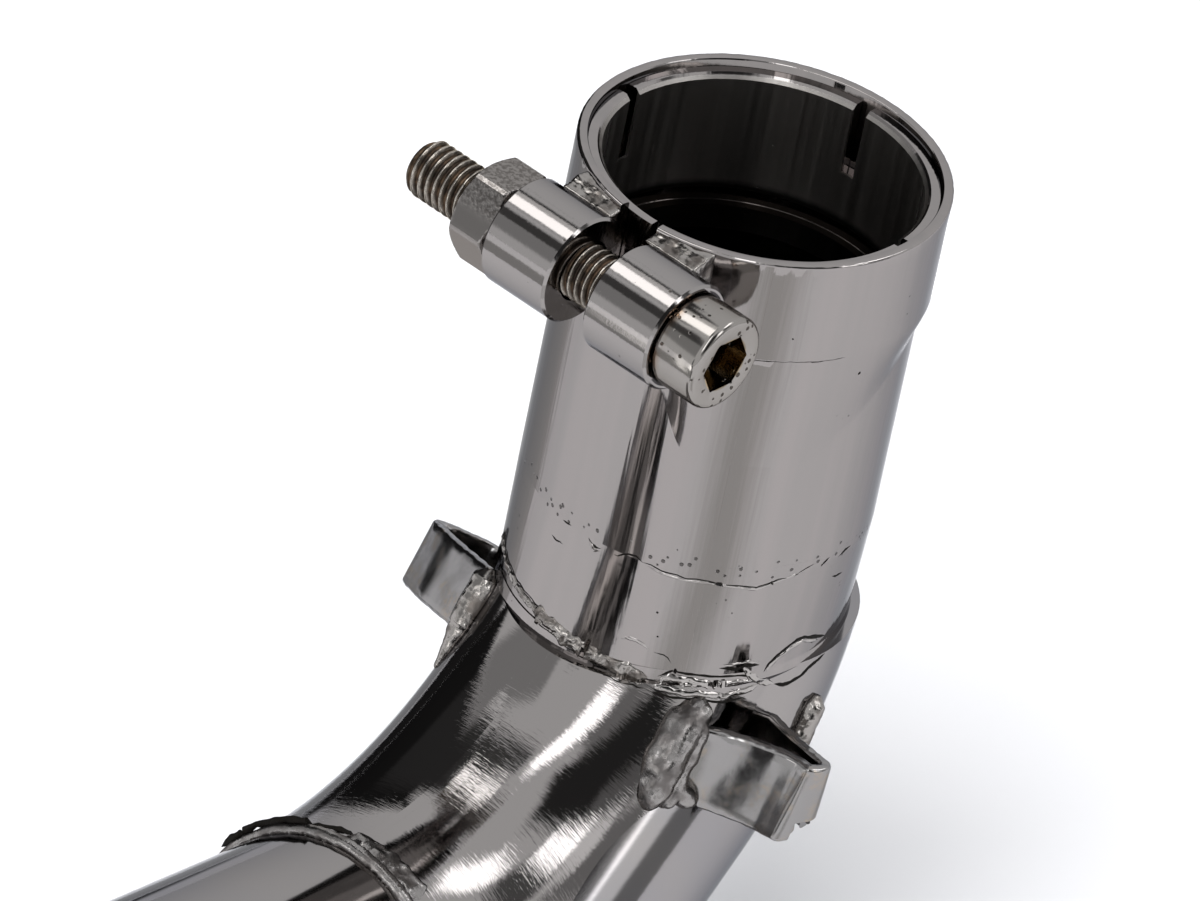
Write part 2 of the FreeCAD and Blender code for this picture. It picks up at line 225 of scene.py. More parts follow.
def makeCards(c):
    def reflector(name, corners, faces, level, cover):
        material = bpy.data.materials.new(name)
        material.use_nodes = True
        tree = material.node_tree
        tree.nodes.clear()
        share = addNode(tree, "Attribute", attribute_name="cover", out="Fac")
        clear, glow = addNode(tree, "BsdfTransparent"), addNode(tree, "Emission", Strength=level)
        addNode(tree, "OutputMaterial", addNode(tree, "MixShader", share, clear, glow))
        card = stageMesh(name, [tuple(v / 1000 for v in corner) for corner in corners], faces, material)
        card.data.attributes.new("cover", "FLOAT", "POINT").data.foreach_set("value", cover)
        card.visible_camera = card.visible_diffuse = card.visible_shadow = False

    square, full = [(0, 1, 2, 3)], [1.0] * 4
    for k, (y, xLow, xHigh, zLow, zHigh, level) in enumerate(c["upright"]):
        corners = [(x, y, z) for x, z in ((xLow, zLow), (xHigh, zLow), (xHigh, zHigh), (xLow, zHigh))]
        reflector(f"card{k}", corners, square, level, full)
    for k, (xLow, xHigh, yLow, yHigh, z, level) in enumerate(c["overhead"]):
        corners = [(x, y, z) for x, y in ((xLow, yLow), (xHigh, yLow), (xHigh, yHigh), (xLow, yHigh))]
        reflector(f"overhead{k}", corners, square, level, full)
    steps = c["sectorSteps"]
    height = floorLevel * 1000 + c["lift"]
    faces = [(2 * n, 2 * n + 1, 2 * n + 3, 2 * n + 2) for n in range(steps)]
    for k, (low, high, inner, outer, level, soft) in enumerate(c["sectors"]):
        points, cover = [], []
        for n in range(steps + 1):
            azimuth = low - soft + (high - low + 2 * soft) * n / steps
            share = min(1.0, (azimuth - low + soft) / (2 * soft), (high + soft - azimuth) / (2 * soft))
            a = math.radians(azimuth)
            points += [(r * math.sin(a), -r * math.cos(a), height) for r in (inner, outer)]
            cover += [max(0.0, share)] * 2
        reflector(f"sector{k}", points, faces, level, cover)


makeCards(cards)

# A soft light from the left and above, for the shadow at the part's right
key = dict(azimuth=16, elevation=52, strength=3.7, spread=28)


def makeKey(k):
    light = bpy.data.lights.new("softKey", "SUN")
    light.energy = k["strength"]
    light.angle = math.radians(k["spread"])
    obj = bpy.data.objects.new("softKey", light)
    bpy.context.scene.collection.objects.link(obj)
    a, e = math.radians(k["azimuth"]), math.radians(k["elevation"])
    towards = Vector((math.sin(a) * math.cos(e), -math.cos(a) * math.cos(e), math.sin(e)))
    obj.rotation_mode = "QUATERNION"
    obj.rotation_quaternion = towards.to_track_quat("Z", "Y")
    obj.visible_glossy = False


makeKey(key)
print("studio set")


# Materials. Every colour is the metal's own, except the near-black steel of the shade strips, which is painted
# shade, and the strap's cream, which is partly a painted highlight; lengths in the patterns are in metres

def makeSteel(look, inputsOf=None):
    material = bpy.data.materials.new(look["name"])
    material.use_nodes = True
    shader = material.node_tree.nodes["Principled BSDF"]
    feed(shader, {"Base Color": look["colour"], "Metallic": look.get("metallic", 1.0),
                  "Roughness": look["roughness"], "Specular Tint": look.get("edge", "b0b2b6")})
    if inputsOf:
        add = partial(addNode, material.node_tree)
        feed(shader, inputsOf(look, add, add("TexCoord", out="Object")))
    return material


def aroundAxis(add, spot, centre, axis):
    # metres along an axis, the angle round it and the distance from it
    axis = Vector(axis).normalized()
    side = axis.orthogonal().normalized()
    offset = add("VectorMath", spot, tuple(centre), **minus)
    along, a, b = (add("VectorMath", offset, tuple(direction), operation="DOT_PRODUCT", out="Value")
                   for direction in (axis, side, axis.cross(side)))
    return along, add("Math", a, b, operation="ARCTAN2"), hypotenuse(add, a, b)


def hypotenuse(add, a, b):
    squares = add("Math", add("Math", a, a, **times), add("Math", b, b, **times), **plus)
    return add("Math", squares, operation="SQRT")


def stretched(add, first, firstScale, second, secondScale, shift=0.0, **grain):
    # noise that is drawn out along one of two directions
    scaled = [add("Math", *pair, **times) for pair in ((first, firstScale), (second, secondScale))]
    where = add("CombineXYZ", *scaled, shift)
    return add("TexNoise", where, Scale=1.0, **grain)


def pitted(add, spot, limit, scale, low, high):
    # specks where the limit is above a cell's distance
    cells = add("TexVoronoi", spot, Scale=scale)
    return add("MapRange", add("Math", limit, cells, **minus), low, high, **smooth)


def sunk(add, pit, depth, normal):
    return add("Bump", Height=add("Math", pit, -1.0, **times), Distance=depth, Normal=normal)


# Polished collar: faint upright waves and casts, dark pits near the seam; its bore goes dark below the step
collar = dict(
    name="polishedSteelCollar", colour="94908e", roughness=0.075, warm="96918f", cool="928e8c", edge="b0b2b6",
    bands=0.00012, grain=0.05, pits=0.00016, pitColour="3a3735", pitScale=760.0, seam=0.0478,
    bore="9c9894", boreLow="2c2a28", boreEdge="4a4845", boreRoughness=0.20, boreStreaks=0.3,
    boreFrom=0.02145, boreTo=0.0212, stepFrom=-0.0170, stepTo=-0.0182,
)


def collarInputs(c, add, spot):
    along, angle, distance = aroundAxis(add, spot, (0, 0, 0), (0, 0, 1))

    def upright(turns, lengths, shift=0.0, detail=3.0):
        return stretched(add, angle, turns, along, lengths, shift, Detail=detail)

    cast = add("MapRange", upright(7.0, 9.0, 3.0, 2.0), 0.35, 0.65, **smooth)
    skinColour = add("Mix", cast, i6=c["warm"], i7=c["cool"], **colours)
    away = add("Math", add("Math", along, c["seam"], **plus), operation="ABSOLUTE")
    near = add("MapRange", away, 0.0006, 0.0028, 0.21, 0.0, **smooth)
    sparse = add("TexNoise", spot, Scale=130.0, Detail=1.0)
    limit = add("Math", near, add("MapRange", sparse, 0.64, 0.76, 0.0, 0.12, **smooth), **plus)
    pit = pitted(add, spot, limit, c["pitScale"], -0.02, 0.05)
    skinColour = add("Mix", add("Math", pit, 0.75, **times), i6=skinColour, i7=c["pitColour"], **colours)
    inside = add("MapRange", distance, c["boreFrom"], c["boreTo"], **smooth)
    below = add("MapRange", along, c["stepFrom"], c["stepTo"], **smooth)
    boreColour = add("Mix", below, i6=c["bore"], i7=c["boreLow"], **colours)
    streaks = add("Math", upright(16.0, 12.0, 7.0), c["boreStreaks"], **times)
    rough = add("MapRange", inside, 0.0, 1.0, c["roughness"], c["boreRoughness"], **smooth)
    grain = add("Math", upright(60.0, 40.0, detail=4.0), c["grain"], **times)
    height = add("Math", upright(5.0, 14.0), grain, **plus)
    return {
        "Base Color": add("Mix", inside, i6=skinColour, i7=boreColour, **colours),
        "Roughness": add("Math", rough, add("Math", inside, streaks, **times), **plus),
        "Specular Tint": add("Mix", inside, i6=c["edge"], i7=c["boreEdge"], **colours),
        "Normal": sunk(add, pit, c["pits"], add("Bump", Height=height, Distance=c["bands"]))}


# Turned lugs: fine marks round the screw's axis and a few brown pits
lug = dict(name="turnedLugSteel", colour="94908e", roughness=0.08, marks=0.000014,
           pits=0.00006, pitColour="4b423a", pitScale=700.0)


def lugInputs(g, add, spot):
    along, angle, _ = aroundAxis(add, spot, screwCentre, (1, 0, 0))
    marks = stretched(add, along, 5200.0, angle, 9.0, Detail=3.0, Roughness=0.6)
    patches = add("MapRange", add("TexNoise", spot, Scale=160.0), 0.5, 0.68, 0.0, 0.16, **smooth)
    pit = pitted(add, spot, patches, g["pitScale"], -0.03, 0.03)
    return {
        "Base Color": add("Mix", add("Math", pit, 0.6, **times), i6=g["colour"], i7=g["pitColour"], **colours),
        "Normal": sunk(add, pit, g["pits"], add("Bump", Height=marks, Distance=g["marks"]))}


# Mirror-polished left bend: polishing marks run round the bent pipe, so they follow the bend's own centre
bend = dict(
    name="mirrorSteelBend", colour="94908e", roughness=0.055,
    fine=0.000008, coarse=0.000031, unit=0.00001, waves=0.00006,
    centre=(0.0036, -0.057218, -0.042486), side=(0.99824, 0.0593, 0), ahead=(0.0593, -0.99824, 0), radius=0.0597,
)


def bendInputs(b, add, spot):
    offset = add("VectorMath", spot, b["centre"], **minus)
    side, ahead, rise = (add("VectorMath", offset, direction, operation="DOT_PRODUCT", out="Value")
                         for direction in (b["side"], b["ahead"], (0, 0, 1)))
    run = add("Math", add("Math", rise, ahead, operation="ARCTAN2"), b["radius"], **times)
    reach = add("Math", hypotenuse(add, rise, ahead), b["radius"], **minus)
    turn = add("Math", side, reach, operation="ARCTAN2")
    marks = stretched(add, run, 3000.0, turn, 9.0, Roughness=0.6)
    lanes = stretched(add, run, 1300.0, turn, 5.0, 4.0, Detail=3.0, Roughness=0.65)
    where = add("MapRange", add("TexNoise", spot, Scale=60.0), 0.36, 0.56, 0.2, 1.0, **smooth)
    fine = add("Math", marks, b["fine"] / b["unit"], **times)
    coarse = add("Math", add("Math", lanes, where, **times), b["coarse"] / b["unit"], **times)
    waves = add("TexNoise", spot, Scale=42.0, Detail=1.0)
    wide = add("Bump", Height=waves, Distance=b["waves"])
    height = add("Math", fine, coarse, **plus)
    return {"Normal": add("Bump", Height=height, Distance=b["unit"], Normal=wide)}


# Polished straight pipes: long soft waves and a slight change of cast
pipe = dict(name="polishedPipe", colour="94908e", roughness=0.085, warm="95918f", cool="8f8d8f",
            waves=0.0001, fine=0.000002, waveScale=(45, 22, 45), fineScale=(1400, 260, 1400))


def pipeInputs(p, add, spot):
    cast = add("MapRange", add("TexNoise", spot, Scale=30.0), 0.35, 0.65, **smooth)
    waves, fine = (add("TexNoise", add("VectorMath", spot, p[key], **times), Scale=1.0)
                   for key in ("waveScale", "fineScale"))
    wide = add("Bump", Height=waves, Distance=p["waves"])
    return {
        "Base Color": add("Mix", cast, i6=p["warm"], i7=p["cool"], **colours),
        "Normal": add("Bump", Height=fine, Distance=p["fine"], Normal=wide)}


# Ground welds: bright steel with brown-grey patches, duller and grainy in the patches
weld = dict(name="groundWeld", colour="97938f", roughness=0.16, light="97938f", dark="5d5651",
            patchScale=420.0, darkFrom=0.42, darkTo=0.68, most=0.75, roughTo=0.7, smoothest=0.10, roughest=0.34,
            grain=0.000035, fineness=dict(Scale=1500.0, Detail=4.0, Roughness=0.62))
# The pad weld is satin, with softer and greyer patches
pad = dict(name="satinPadWeld", colour="8c8987", edge="a3a19f", roughness=0.3, light="918e8c", dark="6b6765",
           patchScale=330.0, darkFrom=0.4, darkTo=0.66, most=1.0, roughTo=0.65, smoothest=0.18, roughest=0.36,
           grain=0.00005, fineness=dict(Scale=2300.0, Detail=3.0))


def weldInputs(w, add, spot):
    patches = add("TexNoise", spot, Scale=w["patchScale"], Detail=3.0)
    dark = add("MapRange", patches, w["darkFrom"], w["darkTo"], 0.0, w["most"], **smooth)
    grain = add("TexNoise", spot, **w["fineness"])
    return {
        "Base Color": add("Mix", dark, i6=w["light"], i7=w["dark"], **colours),
        "Roughness": add("MapRange", patches, 0.35, w["roughTo"], w["smoothest"], w["roughest"], **smooth),
        "Normal": add("Bump", Height=grain, Distance=w["grain"])}


# Painted shade in the cracks, pits and creases: a near-black, rough steel for thin strips that stand in for the
# shadow inside them
shadeStripLook = dict(name="crackGrime", colour="1c1a18", roughness=0.6, edge="6a6866", metallic=0.6, grain=0.00012)


def shadeStripInputs(g, add, spot):
    grain = add("TexNoise", spot, Scale=2600.0, Detail=3.0)
    return {"Normal": add("Bump", Height=grain, Distance=g["grain"])}


# Screw: its axis runs along X through this point
screwCentre = (0, -0.0302, -0.0075)
# Thread with worn bright crests, darker towards the roots by distance from the axis and near black there, with
# brown stain patches
thread = dict(name="stainedThread", colour="a39d95", root="332c27", stain="5c4c3e", edge="c9c2b6", roughness=0.2,
              rootRadius=0.00345, crestRadius=0.00398, grain=0.00007)


def threadInputs(t, add, spot):
    distance = aroundAxis(add, spot, screwCentre, (1, 0, 0))[2]
    stains = add("TexNoise", spot, Scale=520.0, Detail=4.0, Roughness=0.6)
    # darker towards the roots by distance from the axis
    depth = add("MapRange", distance, t["rootRadius"], t["crestRadius"], **smooth)
    crestShare = add("Math", depth, add("MapRange", stains, 0.30, 0.62, 0.55, 1.0, **smooth), **times)
    base = add("Mix", add("MapRange", stains, 0.4, 0.62, **smooth), i6=t["root"], i7=t["stain"], **colours)
    grain = add("TexNoise", spot, Scale=1700.0, Detail=3.0)
    return {
        "Base Color": add("Mix", crestShare, i6=base, i7=t["colour"], **colours),
        "Roughness": add("MapRange", crestShare, 0.0, 1.0, 0.42, 0.16, **smooth),
        "Normal": add("Bump", Height=grain, Distance=t["grain"])}


# Plated screw head: turned, pitted, rusty at its foot and gold-brown inside the hexagon
head = dict(name="platedScrewHead", colour="938f8b", roughness=0.13, edge="b8b6b4", pitColour="302924",
            pitScale=950.0, pits=0.00012,
            rust="7a6049", rustFrom=0.0171, rustTo=0.0156, goldDark="6f614b", goldLight="b39d78",
            hexFrom=0.00385, hexTo=0.00365, mouthFrom=0.02235, mouthTo=0.0222, marks=0.000005)


def headInputs(h, add, spot):
    along, angle, distance = aroundAxis(add, spot, screwCentre, (1, 0, 0))

    def patches(scale, detail=2.0, last=1.0):
        return add("MapRange", add("TexNoise", spot, Scale=scale, Detail=detail), 0.42, 0.62, 0.0, last, **smooth)

    pit = pitted(add, spot, patches(260.0, last=0.30), h["pitScale"], -0.04, 0.04)
    foot = add("MapRange", along, h["rustFrom"], h["rustTo"], **smooth)
    rust = add("Math", foot, patches(330.0, 3.0), **times)
    skinColour = add("Mix", add("Math", pit, 0.85, **times), i6=h["colour"], i7=h["pitColour"], **colours)
    skinColour = add("Mix", add("Math", rust, 0.8, **times), i6=skinColour, i7=h["rust"], **colours)
    inside = add("Math", add("MapRange", distance, h["hexFrom"], h["hexTo"], **smooth),
                 add("MapRange", along, h["mouthFrom"], h["mouthTo"], **smooth), **times)
    gold = add("Mix", patches(210.0), i6=h["goldDark"], i7=h["goldLight"], **colours)
    marks = stretched(add, along, 4200.0, angle, 7.0, Detail=3.0)
    return {
        "Base Color": add("Mix", inside, i6=skinColour, i7=gold, **colours),
        "Normal": sunk(add, pit, h["pits"], add("Bump", Height=marks, Distance=h["marks"]))}


# Nut: coarse grain on the upper flats only, by height
nutLook = dict(name="castNutSteel", colour="918d8a", roughness=0.15, edge="bab7b4", light="8a8683", dark="6a6663",
               coarseFrom=-0.0052, coarseTo=-0.0035, grain=0.00007)


def nutInputs(n, add, spot):
    coarse = add("MapRange", add("SeparateXYZ", spot, out=2), n["coarseFrom"], n["coarseTo"], **smooth)
    grain = add("TexNoise", spot, Scale=1900.0, Detail=3.0, Roughness=0.55)
    fine = add("Math", add("TexNoise", spot, Scale=600.0, Detail=3.0), 0.08, **times)
    dark = add("Math", coarse, add("MapRange", grain, 0.42, 0.6, **smooth), **times)
    height = add("Math", add("Math", grain, coarse, **times), fine, **plus)
    return {
        "Base Color": add("Mix", dark, i6=n["light"], i7=n["dark"], **colours),
        "Normal": add("Bump", Height=height, Distance=n["grain"])}


# Hand-finished straps: wavy, with cream freckles in patches; the light warm cream is partly stain and partly a
# painted highlight
strap = dict(name="handFinishedStrap", colour="8f8d8c", stain="a39482", roughness=0.13,
             waves=0.00005, freckles=0.000005)


def strapInputs(p, add, spot):
    patches = add("TexNoise", spot, Scale=240.0, Detail=3.0, Roughness=0.6)
    freckle = add("TexNoise", spot, Scale=1300.0, Detail=3.0, Roughness=0.7)
    # the cream patches: stain colour that also stands in for the strap's warm highlight
    stain = add("Math", add("MapRange", patches, 0.46, 0.64, **smooth),
                add("MapRange", freckle, 0.4, 0.62, **smooth), **times)
    waves = add("Bump", Height=add("TexNoise", spot, Scale=150.0, Detail=1.0), Distance=p["waves"])
    return {
        "Base Color": add("Mix", add("Math", stain, 0.6, **times), i6=p["colour"], i7=p["stain"], **colours),
        "Roughness": add("MapRange", patches, 0.35, 0.7, 0.12, 0.22, **smooth),
        "Normal": add("Bump", Height=freckle, Distance=p["freckles"], Normal=waves)}


# Rolled edges beside the cracks: bright and smooth
burr = dict(name="rolledSteelBurr", colour="a39f9c", roughness=0.11)


steels = dict(
    collar=makeSteel(collar, collarInputs), bend=makeSteel(bend, bendInputs), pipe=makeSteel(pipe, pipeInputs),
    lug=makeSteel(lug, lugInputs), weld=makeSteel(weld, weldInputs), pad=makeSteel(pad, weldInputs),
    shadeStrip=makeSteel(shadeStripLook, shadeStripInputs), thread=makeSteel(thread, threadInputs),
    head=makeSteel(head, headInputs), nut=makeSteel(nutLook, nutInputs), strap=makeSteel(strap, strapInputs),
    burr=makeSteel(burr),
)

finish = dict(
    socket_tube="collar", clamp_band="collar", oval_section="collar", socket_seam_weld="collar",
    left_bend="bend", left_pipe="pipe", right_pipe="pipe", lug_nut_side="lug", lug_head_side="lug",
    lug_weld_nut_side="weld", lug_weld_head_side="weld", clamp_screw="head", clamp_nut="nut",
    left_seam_weld="weld", junction_weld="collar", front_hook="strap", front_hook_weld="weld",
    front_hook_rear_weld="weld", left_hook="strap", left_hook_weld="weld", left_hook_rear_weld="weld",
)
for name, key in finish.items():
    nodes[name].data.materials.clear()
    nodes[name].data.materials.append(steels[key])
print("materials made")


# Pieces; their points are in millimetres

def turnOutwards(mesh):
    shape = bmesh.new()
    shape.from_mesh(mesh)
    bmesh.ops.recalc_face_normals(shape, faces=shape.faces)
    shape.to_mesh(mesh)
    shape.free()


def addPiece(name, points, faces, material, stands=(), corner=40):
    mesh = bpy.data.meshes.new(name)
    mesh.from_pydata([tuple(c / 1000 for c in p) for p in points], [], faces)
    mesh.materials.append(material)
    turnOutwards(mesh)
    return settle(name, mesh, stands, corner)


def settle(name, mesh, stands=(), corner=40):
    mesh.update()
    for face in mesh.polygons:
        face.use_smooth = True
    if corner:
        mesh.set_sharp_from_angle(angle=math.radians(corner))
    obj = bpy.data.objects.new(name, mesh)
    bpy.context.scene.collection.objects.link(obj)
    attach(obj, "root")
    if stands:
        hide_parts(*stands)
    return obj


def ringFaces(rows, columns, closed=True):
    faces = []
    for r in range(rows - 1):
        for c in range(columns if closed else columns - 1):
            d = (c + 1) % columns
            faces.append((r * columns + c, r * columns + d, (r + 1) * columns + d, (r + 1) * columns + c))
    return faces


def ringCaps(rows, columns):
    return [tuple(range(columns)), tuple((rows - 1) * columns + c for c in range(columns))]


# Screw with its real thread, along X; it is drawn finely where the thread shows
screw = dict(
    y=-30.2, z=-7.5, tail=-30.55, seat=14.45, crest=4.0, root=3.38, pitch=1.25, tip=0.9, coreTip=3.2,
    fine=[(-30.55, -12.6), (-4.0, 5.6)], step=0.078, columns=64,
    coarseStep=0.6, headRadius=6.5, headLength=8.0, headColumns=120, rim=0.95,
    hexKey=7.0, hexChamfer=0.22, hexDepth=4.2, hexPoint=1.1,
)


def makeScrew(s):
    def point(x, radius, angle):
        return (x, s["y"] + radius * math.sin(angle), s["z"] + radius * math.cos(angle))

    stations = []
    x = s["tail"]
    while x < s["seat"]:
        stations.append(x)
        x += s["step"] if any(low <= x <= high for low, high in s["fine"]) else s["coarseStep"]
    stations.append(s["seat"])
    points = []
    columns = s["columns"]
    for x in stations:
        for c in range(columns):
            angle = math.tau * c / columns
            phase = (x / s["pitch"] + angle / math.tau) % 1.0
            away = abs(phase - 0.5)
            share = min(max((0.38 - away) / 0.30, 0.0), 1.0)
            radius = s["root"] + (s["crest"] - s["root"]) * share
            radius = min(radius, s["coreTip"] + (x - s["tail"]) * (s["crest"] - s["coreTip"]) / s["tip"])
            points.append(point(x, radius, angle))
    faces = ringFaces(len(stations), columns) + ringCaps(len(stations), columns)
    addPiece("screwThread", points, faces, steels["thread"], ["clamp_screw"], 60)

    columns = s["headColumns"]
    end = s["seat"] + s["headLength"]
    # each ring's place along X, its radius, and 1 where it is a hexagon
    rings = [(s["seat"], s["root"], 0), (s["seat"], s["headRadius"] - 0.3, 0),
             (s["seat"] + 0.12, s["headRadius"] - 0.08, 0), (s["seat"] + 0.35, s["headRadius"], 0)]
    for k in range(9):
        a = math.radians(90 * k / 8)
        rings.append((end - s["rim"] + s["rim"] * math.sin(a),
                      s["headRadius"] - s["rim"] + s["rim"] * math.cos(a), 0))
    hexCorner = s["hexKey"] / math.sqrt(3)
    rings += [(end, hexCorner + s["hexChamfer"] * 1.6, 0), (end - s["hexChamfer"], 0, 1),
              (end - s["hexDepth"], 0, 1), (end - s["hexDepth"] - s["hexPoint"], 0.02, 0)]
    points = []
    for x, radius, isHex in rings:
        for c in range(columns):
            angle = math.tau * c / columns
            if isHex:
                turn = (angle + math.pi / 6) % (math.pi / 3) - math.pi / 6
                radius = s["hexKey"] / 2 / math.cos(turn)
            points.append(point(x, radius, angle))
    faces = ringFaces(len(rings), columns) + ringCaps(len(rings), columns)
    addPiece("screwHead", points, faces, steels["head"], [], 35)


makeScrew(screw)

# Nut, with flats up and down, rounded corners and both ends chamfered
nut = dict(y=-30.2, z=-7.5, low=-19.85, high=-13.35, key=13.0, cornerRound=7.32, endRadius=6.15, cone=1.55,
           bore=3.7, columns=144)


def makeNut(n):
    columns = n["columns"]
    length = n["high"] - n["low"]
    stations = [0, 0.1, 0.2, 0.32, 0.46, 0.62, 0.8, 1.0, length / 2]
    stations += [length - s for s in reversed(stations[:-1])]
    points = []
    for edge in [0] + stations + [length]:
        for c in range(columns):
            angle = math.tau * c / columns
            turn = (angle + math.pi / 6) % (math.pi / 3) - math.pi / 6
            radius = min(n["key"] / 2 / math.cos(turn), n["cornerRound"])
            cone = n["endRadius"] + min(edge, length - edge) * n["cone"]
            radius = min(radius, cone)
            points.append((n["low"] + edge, n["y"] + radius * math.sin(angle), n["z"] + radius * math.cos(angle)))
    rows = len(stations) + 2
    for row, x in ((0, n["low"]), (rows - 1, n["high"])):
        for c in range(columns):
            angle = math.tau * c / columns
            y, z = n["y"] + n["bore"] * math.sin(angle), n["z"] + n["bore"] * math.cos(angle)
            points[row * columns + c] = (x, y, z)
    last = (rows - 1) * columns
    faces = ringFaces(rows, columns)
    faces += [(c, (c + 1) % columns, last + (c + 1) % columns, last + c) for c in range(columns)]
    addPiece("hexNut", points, faces, steels["nut"], ["clamp_nut"], 25)


makeNut(nut)
print("screw and nut made")

# Clamp band: at the front its lower edge runs far down the socket, at the sides it is short
band = dict(inner=22.95, outer=24.4, socket=23.27, crease=-14.6, shortBlend=4.2, longBlend=17.0,
            longFrom=32, longTo=58, fade=62, nearFade=22, gap=6.3, rim=0.42, burr=0.05, columns=300)


def makeBand(b):
    steps = [k / 14 for k in range(15)]
    top = [(b["outer"] - 0.045, b["crease"] - 0.05), (b["outer"] - 0.055, b["crease"]),
           (b["outer"] - 0.01, b["crease"] + 0.06)]
    top += [(b["outer"], b["crease"] + 0.2), (b["outer"], -8.0), (b["outer"], -2.0)]
    for k in range(6):
        a = math.radians(90 * k / 5)
        top.append((b["outer"] - b["rim"] + b["rim"] * math.cos(a), -b["rim"] + b["rim"] * math.sin(a)))
    top += [(b["inner"] + 0.45, 0.0), (b["inner"] + 0.15, -0.05), (b["inner"], -0.25), (b["inner"], -14.0)]
    columns = b["columns"]
    start = math.asin(b["gap"] / 2 / b["outer"])
    points = []
    rows = len(steps) + len(top) + 1
    for r in range(rows):
        for c in range(columns):
            angle = start + (2 * math.pi - 2 * start) * c / (columns - 1)
            azimuth = math.degrees(angle)
            # length of the lower taper at this side
            share = 1 - max((b["longFrom"] - azimuth) / b["nearFade"], (azimuth - b["longTo"]) / b["fade"], 0)
            share = max(0.0, share)
            share = share * share * (3 - 2 * share)
            length = b["shortBlend"] + (b["longBlend"] - b["shortBlend"]) * share
            if r == 0:
                radius, z = b["inner"], b["crease"] - length
            elif r <= len(steps):
                t = steps[r - 1]
                curve = t * t * (3 - 2 * t)
                curve += (t - curve) * share
                radius = b["socket"] + (b["outer"] - 0.05 - b["socket"]) * curve
                z = b["crease"] - 0.06 - length * (1 - t)
            else:
                radius, z = top[r - 1 - len(steps)]
                if -0.2 < z - b["crease"] < 0.1:
                    # the crease shows most at the front
                    radius += (1 - max(0, 1 - abs(azimuth - 46) / 40)) * (b["outer"] - radius) * 0.85
            # small burrs along the outer rim
            onRim = z > -0.35 and radius > b["outer"] - 0.3
            burr = b["burr"] * noise.noise(Vector((angle * 30, z, 1.7))) if onRim else 0.0
            points.append(((radius + burr) * math.sin(angle), -(radius + burr) * math.cos(angle), z + burr * 0.5))
    faces = ringFaces(rows, columns, False)
    faces += [(c, c + 1, (rows - 1) * columns + c + 1, (rows - 1) * columns + c) for c in range(columns - 1)]
    faces += [tuple(columns * r + c for r in range(rows)) for c in (0, columns - 1)]
    addPiece("clampBand", points, faces, steels["collar"], ["clamp_band"], 38)


makeBand(band)
print("band made")


# Folded straps, swept along their own route with rounded edges
def roundedRoute(corners, radii, step=0.35):
    # a smooth line of evenly spaced points, from corner points and a radius for each inner one
    points = [Vector(corners[0])]
    for k in range(1, len(corners) - 1):
        before, at, after = (Vector(corners[k + d]) for d in (-1, 0, 1))
        first, second = (before - at).normalized(), (after - at).normalized()
        half = first.angle(second) / 2
        cut = radii[k - 1] / math.tan(half)
        centre = at + (first + second).normalized() * radii[k - 1] / math.sin(half)
        a, b = at + first * cut - centre, at + second * cut - centre
        sweep = a.angle(b)
        count = max(3, int(sweep * radii[k - 1] / step) + 1)
        for n in range(count + 1):
            t = n / count
            points.append(centre + (a * math.sin((1 - t) * sweep) + b * math.sin(t * sweep)) / math.sin(sweep))
    points.append(Vector(corners[-1]))
    spaced = [points[0]]
    for p in points[1:]:
        gap = p - spaced[-1]
        count = max(1, int(gap.length / step))
        base = spaced[-1].copy()
        spaced += [base + gap * (n + 1) / count for n in range(count)]
    return spaced


straps = [
    # traced: outer line at the top edge, then at the bottom edge
    dict(name="frontStrap", node="front_hook", base=(2.2105, -0.6028, -73.6502), side=(0.9895, 0.1444, 0),
         out=(0.143, -0.9799, 0.1392), along=(0.0201, -0.1377, -0.9903), width=11.2, thick=1.75, edge=0.5, wave=0.6,
         traced=[(15.4, 18.75, 15.6, 18.3), (17.43, 16.77, 17.8, 17.2), (20.79, 15.04, 21.2, 16.1),
                 (25.07, 13.65, 24.9, 15.25), (27.6, 13.35, 27.0, 15.2), (29.0, 13.7, 28.4, 15.3),
                 (29.9, 13.9, 29.3, 14.7), (30.7, 13.2, 29.8, 13.5), (31.3, 12.0, 30.3, 12.0),
                 (31.55, 10.8, 30.8, 10.4), (31.0, 9.6, 30.6, 8.6), (29.55, 8.9, 29.5, 7.2),
                 (27.0, 8.1, 27.1, 6.4), (24.0, 6.95, 24.2, 5.6), (18.6, 4.4, 18.6, 3.7)],
         notch=(29.0, 33.5, 7.2, 13.4, 8.4)),
    dict(name="leftStrap", node="left_hook", base=(0.5651, -6.1352, -73.2338), side=(-0.9982, -0.0593, 0),
         out=(0.0508, -0.8557, 0.515), along=(0.0305, -0.5141, -0.8572), width=9.3, thick=1.9, edge=0.5, wave=0.2,
         route=[(16.2, 13.9), (26.6, 7.6), (34.6, 0.6), (29.4, -7.6), (16.6, -8.9)], radii=[30.0, 4.6, 4.4],
         notch=None),
]


def outerLine(s):
    # the strap's outer face, as (top side, top out, bottom side, bottom out)
    if "traced" in s:
        knots = [Vector(k) for k in s["traced"]]
        knots = [2 * knots[0] - knots[1]] + knots + [2 * knots[-1] - knots[-2]]
        line = []
        for a, b, c, d in zip(knots, knots[1:], knots[2:], knots[3:]):
            count = max(2, int((c - b).length / 0.5))
            for n in range(count):
                t = n / count
                bow = (2 * a - 5 * b + 4 * c - d) * t * t
                line.append(0.5 * (2 * b + (c - a) * t + bow + (3 * b - a - 3 * c + d) * t ** 3))
        return line + [knots[-2]]
    middle = roundedRoute(s["route"], s["radii"])
    line = []
    for k, p in enumerate(middle):
        ahead = (middle[min(k + 1, len(middle) - 1)] - middle[max(k - 1, 0)]).normalized()
        edge = p + Vector((-ahead.y, ahead.x)) * s["thick"] / 2
        line.append(Vector((edge.x, edge.y, edge.x, edge.y)))
    return line


